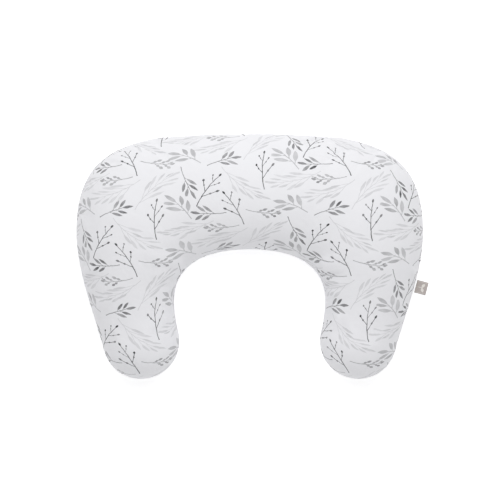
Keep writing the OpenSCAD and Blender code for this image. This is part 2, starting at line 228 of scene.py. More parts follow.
def finer(grid):
    """The same grid with a point added between every two, on a smooth curve through their neighbours."""
    for axis in (0, 1):
        g = np.moveaxis(grid, axis, 0)
        before = np.concatenate([2 * g[:1] - g[1:2], g[:-2]])
        after = np.concatenate([g[2:], 2 * g[-1:] - g[-2:-1]])
        middle = (9 * (g[:-1] + g[1:]) - before - after) / 16
        out = np.empty((2 * len(g) - 1,) + g.shape[1:])
        out[::2], out[1::2] = g, middle
        grid = np.moveaxis(out, 0, axis)
    return grid


def mesh_object(name, points, faces):
    """A new mesh object in the scene."""
    mesh = bpy.data.meshes.new(name)
    mesh.from_pydata(np.asarray(points).reshape(-1, 3).tolist(), [], [list(f) for f in faces])
    mesh.update()
    obj = bpy.data.objects.new(name, mesh)
    scene.collection.objects.link(obj)
    return obj


# ---- cloth ----
# the "slack" group is cut longer than its place, by up to the size of shrink_max
CLOTH = {
    "quality": 6, "mass": 0.25, "tension_stiffness": 80, "compression_stiffness": 80,
    "shear_stiffness": 5, "bending_stiffness": 0.1, "air_damping": 4, "vertex_group_mass": "held",
    "pin_stiffness": 1.0, "vertex_group_shrink": "slack", "shrink_min": 0.0, "shrink_max": -0.120,
    "use_pressure": True, "uniform_pressure_force": 30,
}
PIN_ZONE = HEM_FLAT + 0.004
CAP = 0.012
CLOTH_FRAMES = 26
SLACK_LEVELS = 40
JITTER = 0.00012


def looseness(rows, angles):
    """How much longer than its place the cloth is cut, from 0 to 1: most round the inside of the bends."""
    th = angles[None, :]
    turn = np.gradient(np.unwrap(np.arctan2(rows["normal"][:, 1], rows["normal"][:, 0])))
    turn = np.convolve(np.abs(turn), np.ones(15) / 15, mode="same")
    bend = (turn / turn.max())[:, None]
    inner = smooth((th - radians(95)) / radians(60))
    outer = smooth((radians(45) - th) / radians(45))
    near_seam = smooth((radians(40) - np.minimum(th, math.pi - th)) / radians(40))
    return np.clip(inner * (0.35 + 0.65 * bend) + 0.25 * near_seam + 0.15 * outer * bend, 0, 1)


def settle(points_top, points_under, rows, angles):
    """Cloth simulation of both panels, held at the seam, under light pressure from the filling."""
    n, m = points_top.shape[:2]
    count = n * m
    points = stacked(points_top, points_under)
    faces = np.concatenate([grid_faces(n, m, 1), grid_faces(n, m, -1, count)])
    cloth_obj = mesh_object("cloth_work", points, faces)
    loose = np.tile(looseness(rows, angles).reshape(-1), 2)
    edge_row = np.zeros((n, m), bool)
    edge_row[[0, -1], :] = True
    edge_row[:, [0, -1]] = True
    held = np.tile(edge_row.reshape(-1), 2)
    near_zip = np.abs(points[:, 2] - SEAM_Z) < PIN_ZONE
    held = held | ((np.abs(points[:, 0]) < WINDOW_FULL) & near_zip & (points[:, 1] > 0))
    pins = cloth_obj.vertex_groups.new(name="held")
    pins.add(np.flatnonzero(held).tolist(), 1.0, "REPLACE")
    slack = cloth_obj.vertex_groups.new(name="slack")
    for level in range(1, SLACK_LEVELS + 1):
        members = np.flatnonzero(np.round(loose * SLACK_LEVELS) == level)
        if len(members):
            slack.add(members.tolist(), level / SLACK_LEVELS, "REPLACE")
    rng = np.random.default_rng(7)
    jitter = rng.normal(0, JITTER, points.shape) * (~held)[:, None]
    cloth_obj.data.vertices.foreach_set("co", (points + jitter).reshape(-1))
    mod = cloth_obj.modifiers.new("settling", "CLOTH")
    for key, value in CLOTH.items():
        setattr(mod.settings, key, value)
    mod.settings.effector_weights.gravity = 0
    mod.collision_settings.use_collision = False
    mod.collision_settings.use_self_collision = False
    mod.point_cache.frame_start, mod.point_cache.frame_end = 1, CLOTH_FRAMES
    for f in range(1, CLOTH_FRAMES + 1):
        scene.frame_set(f)
    depsgraph = bpy.context.evaluated_depsgraph_get()
    done = cloth_obj.evaluated_get(depsgraph)
    result = np.empty(len(points) * 3)
    done.data.vertices.foreach_get("co", result)
    result = result.reshape(-1, 3)
    bpy.data.objects.remove(cloth_obj)
    scene.frame_set(1)
    move = result - points
    far = norm(move, axis=1, keepdims=True)
    move *= np.minimum(1, CAP / np.maximum(far, 1e-9))
    result = points + move
    result[:, 2] = np.maximum(result[:, 2], 0)
    return result[:count].reshape(n, m, 3), result[count:].reshape(n, m, 3)


FLAT_ROUNDS = 700
FLAT_HASTE = 1.6


def flat_cut(points):
    """Where each point of a panel lies on the flat cloth, in metres.

    The cross section is unrolled each way from the crown, then every thread's length is evened out as
    far as a flat sheet can.
    """
    p = points[::2, ::2]
    n, m = p.shape[:2]
    crown = m // 2
    step = norm(np.diff(p, axis=1), axis=2)
    run = np.concatenate([np.zeros((n, 1)), np.cumsum(step, 1)], 1)
    reach = p[:, 0, :2] - p[:, -1, :2]
    reach /= np.maximum(norm(reach, axis=1, keepdims=True), 1e-9)
    flat = p[:, crown, None, :2] + (run[:, crown][:, None] - run)[..., None] * reach[:, None, :]
    edges = ((0, 1), (1, 0), (1, 1), (1, -1))
    for _ in range(FLAT_ROUNDS):
        push = np.zeros_like(flat)
        count = np.zeros((n, m, 1))
        for di, dj in edges:
            a = (slice(0, n - di), slice(max(0, -dj), m - max(0, dj)))
            b = (slice(di, n), slice(max(0, dj), m - max(0, -dj)))
            want = norm(p[b] - p[a], axis=2, keepdims=True)
            gap = flat[b] - flat[a]
            have = np.maximum(norm(gap, axis=2, keepdims=True), 1e-9)
            fix = gap * (1 - want / have) / 2
            push[a] += fix
            push[b] -= fix
            count[a] += 1
            count[b] += 1
        flat += FLAT_HASTE * push / count
    return finer(flat)


# ---- shader arithmetic ----
class Shade:
    """Writes a material's arithmetic as short calls: every call adds one node and returns its output."""

    def __init__(self, name):
        self.mat = bpy.data.materials.new(name)
        self.mat.use_nodes = True
        self.tree = self.mat.node_tree
        self.tree.nodes.clear()
        self.out = self.tree.nodes.new("ShaderNodeOutputMaterial")
        self.bsdf = self.tree.nodes.new("ShaderNodeBsdfPrincipled")
        self.tree.links.new(self.bsdf.outputs[0], self.out.inputs[0])

    def node(self, kind, **settings):
        made = self.tree.nodes.new(kind)
        for key, value in settings.items():
            setattr(made, key, value)
        return made

    def feed(self, socket, value):
        if isinstance(value, bpy.types.NodeSocket):
            self.tree.links.new(value, socket)
        else:
            socket.default_value = value

    def math(self, op, *values):
        made = self.node("ShaderNodeMath", operation=op)
        for k, v in enumerate(values):
            self.feed(made.inputs[k], v)
        return made.outputs[0]

    def add(self, a, b):
        return self.math("ADD", a, b)

    def sub(self, a, b):
        return self.math("SUBTRACT", a, b)

    def mul(self, a, b):
        return self.math("MULTIPLY", a, b)

    def div(self, a, b):
        return self.math("DIVIDE", a, b)

    def mad(self, a, b, c):
        return self.math("MULTIPLY_ADD", a, b, c)

    def top(self, a, b):
        return self.math("MAXIMUM", a, b)

    def size_of(self, value):
        return self.math("ABSOLUTE", value)

    def ramp(self, value, low, high, to_low=0.0, to_high=1.0):
        made = self.node("ShaderNodeMapRange", interpolation_type="SMOOTHSTEP")
        for k, v in enumerate((value, low, high, to_low, to_high)):
            self.feed(made.inputs[k], v)
        return made.outputs[0]

    def attribute(self, name):
        made = self.node("ShaderNodeAttribute", attribute_name=name, attribute_type="GEOMETRY")
        return made.outputs["Vector"]

    def place(self):
        return self.node("ShaderNodeTexCoord").outputs["Object"]

    def flat_place(self, layer):
        return self.node("ShaderNodeUVMap", uv_map=layer).outputs[0]

    def parts(self, vector):
        made = self.node("ShaderNodeSeparateXYZ")
        self.feed(made.inputs[0], vector)
        return tuple(made.outputs)

    def noise(self, vector, scale, detail=2.0, rough=0.5):
        made = self.node("ShaderNodeTexNoise")
        for key, value in (("Vector", vector), ("Scale", scale), ("Detail", detail), ("Roughness", rough)):
            self.feed(made.inputs[key], value)
        return made.outputs[0]

    def mix(self, share, a, b):
        made = self.node("ShaderNodeMix", data_type="RGBA")
        for k, v in ((0, share), (6, a), (7, b)):
            self.feed(made.inputs[k], v)
        return made.outputs[2]

    def bump(self, height, distance, strength=1.0, under=None):
        made = self.node("ShaderNodeBump")
        for key, value in (("Strength", strength), ("Distance", distance), ("Height", height)):
            self.feed(made.inputs[key], value)
        if under is not None:
            self.feed(made.inputs["Normal"], under)
        return made.outputs[0]

    def finish(self, color, rough, normal=None, sheen=0.0, specular=0.5):
        self.feed(self.bsdf.inputs["Base Color"], color)
        self.feed(self.bsdf.inputs["Roughness"], rough)
        settings = (("Sheen Weight", sheen), ("Sheen Roughness", 0.4), ("Specular IOR Level", specular))
        for key, value in settings:
            self.bsdf.inputs[key].default_value = value
        if normal is not None:
            self.feed(self.bsdf.inputs["Normal"], normal)
        return self.mat


def grey(v, tint=0.0):
    """A grey, with its blue raised by the share that tint gives."""
    return (v, v, v * (1 + tint), 1.0)


COVER_WHITE = 0.82
INK = (0.030, 0.031, 0.034, 1)
TAUPE_SHADED = (0.375, 0.333, 0.315, 1)
TAUPE_LIT = (0.510, 0.463, 0.442, 1)
TAUPE_PLAIN = (0.375, 0.335, 0.317, 1)
CREAM = (0.78, 0.75, 0.71, 1)


# ---- the print: tossed sprigs on a half-drop repeat, sizes in millimetres ----
# stem: length, bend, first side shoot; shoots: spacing, angle, number; stalk: length, half width, droop;
# leaf and bud: distance, half length, half width; ink: strength, taper, tip length
SPRIGS = {
    "berry": dict(stem=(50, 0.22, 15), shoots=(8.2, 42, 4), stalk=(19, 0.50, 0.12), leaf=(20.0, 2.5, 1.7),
                  bud=(11.0, 2.0, 1.3), ink=(0.90, 0.55, 2.8)),
    "broad": dict(stem=(32, -0.20, 9), shoots=(5.8, 43, 4), stalk=(4, 0.60, 0.10), leaf=(13.4, 9.8, 3.1),
                  bud=(0, 0.01, 0.01), ink=(0.38, 0.10, 9.0)),
    "dark": dict(stem=(36, 0.12, 16), shoots=(4.5, 38, 4), stalk=(3, 0.45, 0.12), leaf=(10.4, 7.6, 2.1),
                 bud=(0, 0.01, 0.01), ink=(0.68, 0.05, 7.6)),
    "willow": dict(stem=(60, 0.28, 10), shoots=(5.8, 25, 8), stalk=(14, 0.40, 0.18), leaf=(21.5, 10.0, 2.0),
                   bud=(0, 0.01, 0.01), ink=(0.21, 0.35, 10.0)),
    "catkin": dict(stem=(42, 0.16, 15), shoots=(5.7, 28, 5), stalk=(9, 0.44, 0.05), leaf=(11.5, 3.7, 2.0),
                   bud=(6.0, 2.8, 1.7), ink=(0.52, 0.20, 3.4)),
}
MOTIF_SCALE = 1.18
REPEAT = (172.5, 163.0)
DROP = 81.5
# room between sprigs, how far from its middle a sprig reaches, and the width of the ink's soft edge
MARGIN = 1.5
FARTHEST = 95
INK_SOFTNESS = 0.28
# how many side shoots back along the stem can still reach a point
SHOOTS_BACK = 3
SPREAD_STEPS = 240
SPREAD_PUSH = 0.06
SPREAD_TURN = 0.00015
TURN_LIMIT = 0.02
# kind, rough middle x and y, direction that the stem grows in (degrees from +X), mirrored or not
LAYOUT = [
    ("berry", 22, 30, 84, 1), ("willow", 78, 22, 222, 1), ("catkin", 128, 12, 178, 1),
    ("dark", 112, 42, 196, 1), ("berry", 150, 52, 104, -1), ("broad", 64, 56, 128, 1),
    ("willow", 22, 84, 48, 1), ("dark", 60, 96, 300, -1), ("berry", 104, 88, 76, 1),
    ("willow", 150, 104, 318, -1), ("catkin", 26, 132, 352, -1), ("broad", 70, 138, 152, 1),
    ("dark", 116, 134, 34, 1), ("willow", 140, 146, 238, 1),
]


def motif_discs(kind, hand):
    """Discs that cover a sprig: distance along its stem, offset to its side and radius, in millimetres."""
    d = SPRIGS[kind]
    stem, bend = d["stem"][:2]
    length = stem + d["ink"][2]
    reach = (d["leaf"][0] + d["leaf"][1]) * math.sin(radians(d["shoots"][1]))
    table = [(0.04, 2.0), (0.15, 2.0), (0.27, 3.5), (0.40, 0.55 * reach), (0.54, 0.82 * reach),
             (0.68, 0.92 * reach), (0.82, 0.82 * reach), (0.98, 0.42 * reach)]
    return [(a * length, hand * bend * (a * length) ** 2 / stem, r) for a, r in table]


def spread_layout():
    """The layout with its sprigs pushed apart and turned a little until none lies on another."""
    discs = np.array([motif_discs(k[0], k[4]) for k in LAYOUT]) * MOTIF_SCALE
    long = np.array([SPRIGS[k[0]]["stem"][0] + SPRIGS[k[0]]["ink"][2] for k in LAYOUT]) * MOTIF_SCALE
    spot = np.array([k[1:3] for k in LAYOUT], float)
    turn = np.radians([k[3] for k in LAYOUT])
    images = np.array([(c * REPEAT[0], r * REPEAT[1] + (c % 2) * DROP)
                       for c in (-1, 0, 1) for r in (-2, -1, 0, 1)])
    self_image = (np.abs(images).sum(1) < 1e-6)[None, None, :, None, None]
    own = self_image * np.eye(len(LAYOUT), dtype=bool)[:, None, None, :, None]
    want = discs[:, :, 2][:, :, None, None, None] + discs[:, :, 2][None, None, None] + MARGIN
    for _ in range(SPREAD_STEPS):
        way = np.stack([np.cos(turn), np.sin(turn)], 1)[:, None, :]
        right = np.stack([np.sin(turn), -np.cos(turn)], 1)[:, None, :]
        arm = (discs[:, :, 0] - long[:, None] / 2)[..., None] * way + discs[:, :, 1][..., None] * right
        at = spot[:, None, :] + arm
        gap = at[:, :, None, None, None, :] - (at[None] + images[:, None, None, :])[None, None]
        dist = np.maximum(norm(gap, axis=-1), 1e-6)
        over = np.clip(want - dist, 0, None) * ~own
        push = (gap / dist[..., None] * over[..., None]).sum(axis=(2, 3, 4))
        spot += SPREAD_PUSH * push.sum(1)
        swing = (arm[..., 0] * push[..., 1] - arm[..., 1] * push[..., 0]).sum(1)
        turn += np.clip(swing * SPREAD_TURN, -TURN_LIMIT, TURN_LIMIT)
    return spot, turn


SPOTS, TURNS = spread_layout()


def print_places(cut):
    """Every sprig on the cut cloth: kind, middle, direction that the stem grows in, hand and seed."""
    low, high = cut.min(0) * 1000 - 60, cut.max(0) * 1000 + 60
    sprigs = []
    for i in range(int(low[0] // REPEAT[0]) - 1, int(high[0] // REPEAT[0]) + 2):
        for j in range(int((low[1] - DROP) // REPEAT[1]) - 2, int(high[1] // REPEAT[1]) + 2):
            for k, (kind, _, _, _, hand) in enumerate(LAYOUT):
                px, py = SPOTS[k, 0] + i * REPEAT[0], SPOTS[k, 1] + j * REPEAT[1] + (i % 2) * DROP
                if low[0] < px < high[0] and low[1] < py < high[1]:
                    seed = (k * 0.37 + i * 0.11 + j * 0.23) % 1
                    sprigs.append((kind, px, py, math.cos(TURNS[k]), math.sin(TURNS[k]), hand, seed))
    return sprigs


def paint_cloth(mesh):
    """Stores on the mesh what the print's shader reads.

    Each face takes the sprig whose discs lie nearest: the sprig's sizes are kept per face, and the
    place on it per corner.
    """
    loops = len(mesh.loops)
    uv = np.empty(loops * 2)
    mesh.uv_layers["cut"].data.foreach_get("uv", uv)
    uv = uv.reshape(-1, 2) * 1000
    starts = np.empty(len(mesh.polygons), np.int64)
    totals = np.empty(len(mesh.polygons), np.int64)
    mesh.polygons.foreach_get("loop_start", starts)
    mesh.polygons.foreach_get("loop_total", totals)
    owner = np.repeat(np.arange(len(starts)), totals)
    middle = np.stack([np.bincount(owner, uv[:, k]) for k in (0, 1)], 1) / totals[:, None]
    sprigs = print_places(uv / 1000)
    half_long = {k: MOTIF_SCALE * (d["stem"][0] + d["ink"][2]) / 2 for k, d in SPRIGS.items()}
    base = np.array([(s[1] - s[3] * half_long[s[0]], s[2] - s[4] * half_long[s[0]]) for s in sprigs])
    way = np.array([(s[3], s[4]) for s in sprigs])
    hand = np.array([s[5] for s in sprigs])
    seed = np.array([s[6] for s in sprigs])
    long = np.array([2 * half_long[s[0]] for s in sprigs])
    nearest = np.zeros(len(middle), np.int64)
    least = np.full(len(middle), 1e9)
    for k in range(len(sprigs)):
        near = np.flatnonzero(np.abs(middle - base[k] - way[k] * long[k] / 2).max(1) < FARTHEST)
        for along, aside, radius in motif_discs(sprigs[k][0], hand[k]):
            spot = base[k] + (way[k] * along + np.array([way[k, 1], -way[k, 0]]) * aside) * MOTIF_SCALE
            away = norm(middle[near] - spot, axis=1) - radius * MOTIF_SCALE
            win = away < least[near]
            least[near[win]] = away[win]
            nearest[near[win]] = k
    which = nearest[owner]
    d = uv - base[which]
    y = np.sum(d * way[which], 1)
    x = (d[:, 0] * way[which, 1] - d[:, 1] * way[which, 0]) * hand[which]
    place = np.stack([x / MOTIF_SCALE, y / MOTIF_SCALE, seed[which]], 1)
    attr = mesh.attributes.new("sprig_at", "FLOAT_VECTOR", "CORNER")
    attr.data.foreach_set("vector", place.reshape(-1))
    for key in ("stem", "shoots", "stalk", "leaf", "bud", "ink"):
        table = np.array([SPRIGS[s[0]][key] for s in sprigs], float)
        attr = mesh.attributes.new("sprig_" + key, "FLOAT_VECTOR", "FACE")
        attr.data.foreach_set("vector", table[nearest].reshape(-1))


def sprig_ink(m):
    """How strongly the print's ink covers the cloth at a point, from the sizes stored on the mesh."""
    x0, y, seed = m.parts(m.attribute("sprig_at"))
    length, bend, first = m.parts(m.attribute("sprig_stem"))
    spacing, angle, number = m.parts(m.attribute("sprig_shoots"))
    stalk, line, droop = m.parts(m.attribute("sprig_stalk"))
    leaf_at, leaf_l, leaf_w = m.parts(m.attribute("sprig_leaf"))
    bud_at, bud_l, bud_w = m.parts(m.attribute("sprig_bud"))
    ink, taper, tip_l = m.parts(m.attribute("sprig_ink"))

    def lens(along, aside, at, half_l, half_w):
        q = m.div(m.sub(along, at), half_l)
        wide = m.mul(m.sub(1.0, m.mul(q, q)), half_w)
        return m.ramp(m.sub(wide, aside), -INK_SOFTNESS * 0.2, INK_SOFTNESS)

    def stroke(half_w, aside):
        return m.ramp(m.sub(half_w, aside), -INK_SOFTNESS * 0.5, INK_SOFTNESS * 0.6)

    wobble = m.noise(m.attribute("sprig_at"), 0.16, 1.0)
    x = m.sub(x0, m.div(m.mul(bend, m.mul(y, y)), length))
    x = m.add(x, m.mul(m.sub(wobble, 0.5), 1.6))
    aside = m.size_of(x)
    slim = m.mad(m.div(y, length), -0.45, 1.25)
    stem = stroke(m.mul(line, slim), aside)
    stem = m.mul(stem, m.mul(m.math("GREATER_THAN", y, 0.0), m.math("LESS_THAN", y, length)))
    cover = m.top(stem, lens(m.sub(y, length), aside, m.mul(tip_l, 0.8), tip_l, m.mul(leaf_w, 0.92)))
    left = m.math("LESS_THAN", x, 0.0)
    angle = m.math("RADIANS", angle)
    sin_a, cos_a = m.math("SINE", angle), m.math("COSINE", angle)
    pitch = m.mul(spacing, 2.0)
    begin = m.mad(left, spacing, first)
    cell = m.math("FLOOR", m.div(m.sub(y, begin), pitch))
    for back in range(SHOOTS_BACK):
        at = m.sub(cell, float(back))
        index = m.mad(at, 2.0, left)
        valid = m.math("LESS_THAN", index, m.sub(number, 0.5))
        valid = m.mul(m.math("GREATER_THAN", at, -0.5), valid)
        rise = m.sub(y, m.mad(at, pitch, begin))
        vary = m.math("FRACT", m.mul(m.math("SINE", m.mad(index, 12.99, m.mul(seed, 78.2))), 43.7))
        size = m.sub(m.sub(1.1, m.mul(taper, m.div(index, number))), m.mul(vary, 0.22))
        along = m.div(m.mad(aside, sin_a, m.mul(rise, cos_a)), size)
        perp = m.div(m.sub(m.mul(aside, cos_a), m.mul(rise, sin_a)), size)
        swing = m.mul(m.mul(along, along), m.mul(m.sub(vary, 0.15), m.mul(droop, 0.06)))
        perp = m.size_of(m.add(perp, swing))
        twig = m.mul(stroke(m.mul(line, 0.85), perp),
                     m.mul(m.math("GREATER_THAN", along, 0.0), m.math("LESS_THAN", along, stalk)))
        leaf = lens(along, perp, leaf_at, leaf_l, leaf_w)
        bud = lens(along, perp, bud_at, bud_l, bud_w)
        tone = m.mad(vary, 0.5, 0.72)
        cover = m.top(cover, m.mul(valid, m.top(twig, m.mul(m.top(leaf, bud), tone))))
    return m.mul(cover, ink)


def cloth_weave(m, cut):
    """Fine single-jersey rows: little V stitches about 0.9 mm wide and 0.7 mm tall."""
    x, y, _ = m.parts(cut)
    wale = m.math("FRACT", m.mul(x, 1100.0))
    lean = m.size_of(m.sub(wale, 0.5))
    course = m.math("SINE", m.mul(m.mad(y, 1400.0, m.mul(lean, 1.1)), math.tau))
    ridge = m.math("SINE", m.mul(lean, math.tau))
    return m.mad(course, 0.35, ridge)


def printed_cotton(name):
    """White cotton jersey with the print's grey ink washed into it."""
    m = Shade(name)
    cut = m.flat_place("cut")
    ink = sprig_ink(m)
    blot = m.noise(cut, 260.0, 2.0, 0.6)
    wash = m.noise(cut, 90.0, 1.0)
    strength = m.mul(ink, m.mad(wash, 0.9, m.mad(blot, 0.35, 0.38)))
    clean, dull = grey(COVER_WHITE, 0.030), grey(COVER_WHITE * 0.965, 0.036)
    base = m.mix(m.mul(m.noise(cut, 14.0, 2.0), 0.6), clean, dull)
    color = m.mix(m.math("MINIMUM", strength, 1.0), base, INK)
    weave = cloth_weave(m, cut)
    pill = m.noise(cut, 1500.0, 2.0, 0.7)
    lumps = m.noise(cut, 55.0, 2.0, 0.5)
    normal = m.bump(m.mad(pill, 0.8, weave), 0.00012, 0.55)
    normal = m.bump(lumps, 0.0016, 0.5, normal)
    rough = m.ramp(pill, 0.2, 0.8, 0.82, 0.95)
    return m.finish(color, rough, normal, sheen=0.18, specular=0.25)


def plain_cloth(name, color, count=1500.0, depth=0.00008, sheen=0.2, rough_low=0.75, rough_high=0.92):
    """Plain weave with count threads per metre, with painted shade in the hollows of the weave."""
    m = Shade(name)
    x, y, z = m.parts(m.place())
    run = m.mul(m.add(x, m.mul(y, 0.31)), count * math.tau)
    rise = m.mul(m.add(z, m.mul(y, 0.52)), count * math.tau)
    weave = m.mul(m.math("SINE", run), m.math("SINE", rise))
    fuzz = m.noise(m.place(), 900.0, 2.0, 0.7)
    shade = m.mix(m.mul(fuzz, 0.7), color, tuple(c * 0.90 for c in color[:3]) + (1.0,))
    # painted shade: the colour goes up to 22% of the way to a 28% darker copy where the weave dips between
    # threads
    shade = m.mix(m.ramp(weave, -1.0, 0.2, 0.22, 0.0), shade, tuple(c * 0.72 for c in color[:3]) + (1.0,))
    normal = m.bump(m.mad(fuzz, 0.6, weave), depth, 0.6)
    rough = m.ramp(fuzz, 0.2, 0.8, rough_low, rough_high)
    return m.finish(shade, rough, normal, sheen=sheen, specular=0.25)


def fibre(name):
    """Loose white polyester fibre: fine strands over soft tufts."""
    m = Shade(name)
    spot = m.place()
    strands = m.noise(spot, 380.0, 4.0, 0.75)
    tufts = m.noise(spot, 45.0, 3.0, 0.6)
    color = m.mix(strands, grey(0.74, 0.01), grey(0.92, 0.005))
    normal = m.bump(strands, 0.0008, 0.8)
    normal = m.bump(tufts, 0.004, 0.6, normal)
    return m.finish(color, m.ramp(strands, 0.2, 0.8, 0.85, 1.0), normal, sheen=0.4, specular=0.1)


def thread(name):
    """Twisted sewing thread: slanting plies, with painted shade in the grooves between them."""
    m = Shade(name)
    x, y, z = m.parts(m.place())
    ply = m.math("SINE", m.mul(m.add(m.add(x, y), m.mul(z, 1.4)), 1500.0 * math.tau))
    # painted shade: the thread is darker in the grooves between plies and lighter on their crests
    color = m.mix(m.ramp(ply, -1.0, 0.6), grey(0.66, 0.01), grey(0.90, 0.01))
    rough = m.ramp(ply, -1.0, 1.0, 0.75, 0.55)
    return m.finish(color, rough, m.bump(ply, 0.0001, 0.7), sheen=0.1, specular=0.3)


def nylon(name, shade):
    """Slightly hazy white nylon."""
    m = Shade(name)
    haze = m.noise(m.place(), 700.0, 2.0)
    color = m.mix(haze, grey(shade * 0.93, 0.01), grey(shade, 0.01))
    return m.finish(color, m.ramp(haze, 0.2, 0.8, 0.30, 0.42), m.bump(haze, 0.00003, 0.5), specular=0.5)


def lacquered_metal(name):
    """White lacquer over zinc, thin on the edges where the metal shows."""
    m = Shade(name)
    speck = m.noise(m.place(), 900.0, 3.0, 0.65)
    edge_wear = m.node("ShaderNodeNewGeometry").outputs["Pointiness"]
    bare = m.mul(m.ramp(edge_wear, 0.57, 0.70, 0.0, 0.55), m.ramp(speck, 0.50, 0.70))
    color = m.mix(bare, grey(0.80, 0.01), grey(0.52, 0.0))
    rough = m.ramp(speck, 0.2, 0.8, 0.24, 0.36)
    return m.finish(color, rough, m.bump(speck, 0.00004, 0.6), specular=0.6)


# half lengths and widths of the woven sprig, in metres; the border's place is a share of the width
LEAF_LONG = 0.0041
LEAF_WIDE = 0.0024
STEM_LONG = 0.0036
STEM_WIDE = 0.00045
BORDER_AT = 0.42


def woven_label(name):
    """Taupe satin ribbon with two border lines and a generic two-leaf sprig woven in cream."""
    m = Shade(name)
    u, v, _ = m.parts(m.flat_place("ribbon"))
    warp = m.math("SINE", m.mul(u, 2600.0 * math.tau))
    weft = m.math("SINE", m.mul(m.mad(u, 0.25, v), 1900.0 * math.tau))
    grain = m.mul(warp, weft)
    across = m.size_of(v)
    off_border = m.size_of(m.sub(across, LABEL_WIDTH * BORDER_AT))
    off_middle = m.size_of(m.sub(u, LABEL_REACH * 0.56))
    line_end = m.math("LESS_THAN", off_middle, LABEL_REACH * 0.37)
    mark = m.mul(m.ramp(off_border, 0.0003, 0.0001), line_end)
    for sign in (1, -1):
        du = m.sub(u, LABEL_REACH * 0.53)
        dv = m.mul(v, sign)
        a = m.add(m.mul(du, 0.5), m.mul(dv, 0.866))
        b = m.size_of(m.sub(m.mul(du, 0.866), m.mul(dv, 0.5)))
        q = m.div(m.sub(a, LEAF_LONG), LEAF_LONG)
        leaf = m.ramp(m.sub(m.mul(m.sub(1.0, m.mul(q, q)), LEAF_WIDE), b), -0.0001, 0.0002)
        mark = m.top(mark, leaf)
    off_stem = m.size_of(m.sub(u, LABEL_REACH * 0.45))
    stem = m.ramp(m.sub(STEM_WIDE, across), -0.0001, 0.0001)
    mark = m.top(mark, m.mul(stem, m.math("LESS_THAN", off_stem, STEM_LONG)))
    ground = m.mix(m.ramp(grain, -1.0, 0.5), TAUPE_SHADED, TAUPE_LIT)
    color = m.mix(m.mul(mark, 0.9), ground, CREAM)
    rough = m.ramp(grain, -1.0, 1.0, 0.62, 0.45)
    return m.finish(color, rough, m.bump(m.mad(mark, 0.8, grain), 0.00008, 0.6), sheen=0.25, specular=0.35)


MATERIALS = {
    "cover_front": printed_cotton("cover_front_cloth"),
    "cover_back": printed_cotton("cover_back_cloth"),
    "thread_white": thread("sewing_thread"),
    "zip_tape": plain_cloth("zip_tape_weave", grey(0.80, 0.01), 1200.0, 0.00015, 0.1, 0.6, 0.75),
    "zip_coil": nylon("zip_coil_nylon", 0.84),
    "zip_stop": nylon("zip_stop_nylon", 0.74),
    "zip_metal": lacquered_metal("zip_slider_lacquer"),
    "label": woven_label("side_label_satin"),
    "label_plain": plain_cloth("side_label_tail_satin", TAUPE_PLAIN, 2200.0, 0.00005, 0.2, 0.5, 0.7),
    "care": plain_cloth("care_label_satin", grey(0.86, 0.01), 2200.0, 0.00004, 0.1, 0.35, 0.5),
    "liner": plain_cloth("liner_cotton", grey(0.84, 0.01), 1400.0, 0.0001),
    "fill": fibre("polyester_fibre"),
}


def dress(obj, slot, body="pillow", nodes=()):
    """Gives a new piece its material and body, and hides the nodes that it stands for."""
    obj.data.materials.clear()
    obj.data.materials.append(MATERIALS[slot])
    obj.data.polygons.foreach_set("use_smooth", [True] * len(obj.data.polygons))
    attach(obj, body)
    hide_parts(*nodes)
    return obj


# ---- cover, liner and filling ----
def normals_of(points, up):
    """Outward direction at each point of a panel's grid."""
    n, m = points.shape[:2]
    work = mesh_object("normals_work", points, grid_faces(n, m, up))
    out = np.empty(n * m * 3)
    work.data.vertex_normals.foreach_get("vector", out)
    bpy.data.objects.remove(work)
    return out.reshape(n, m, 3)


def outline_ring(n, m):
    """Grid indices round the edge of an n by m grid."""
    return ([(i, 0) for i in range(n)] + [(n - 1, j) for j in range(1, m)]
            + [(i, m - 1) for i in range(n - 2, -1, -1)] + [(0, j) for j in range(m - 2, 0, -1)])


def shell(name, outer, inner, up):
    """Closed cloth panel: an outer grid, an inner one of the same or half the steps, and a rim between."""
    n, m = outer.shape[:2]
    n_in, m_in = inner.shape[:2]
    step = (n - 1) // (n_in - 1)
    faces = grid_faces(n, m, up).tolist() + grid_faces(n_in, m_in, -up, n * m).tolist()
    fine = outline_ring(n, m)
    coarse = outline_ring(n_in, m_in)
    for c, (i, j) in enumerate(coarse):
        i2, j2 = coarse[(c + 1) % len(coarse)]
        run = [fine[(c * step + s) % len(fine)] for s in range(step + 1)]
        rim = [a * m + b for a, b in run] + [n * m + i2 * m_in + j2, n * m + i * m_in + j]
        faces.append(rim[::-1] if up > 0 else rim)
    return mesh_object(name, stacked(outer, inner), faces)


def lay_uv(mesh, name, table):
    """Stores each point's place on the flat cloth as a UV map."""
    loops = np.empty(len(mesh.loops), np.int64)
    mesh.loops.foreach_get("vertex_index", loops)
    mesh.uv_layers.new(name=name).data.foreach_set("uv", table[loops].reshape(-1))


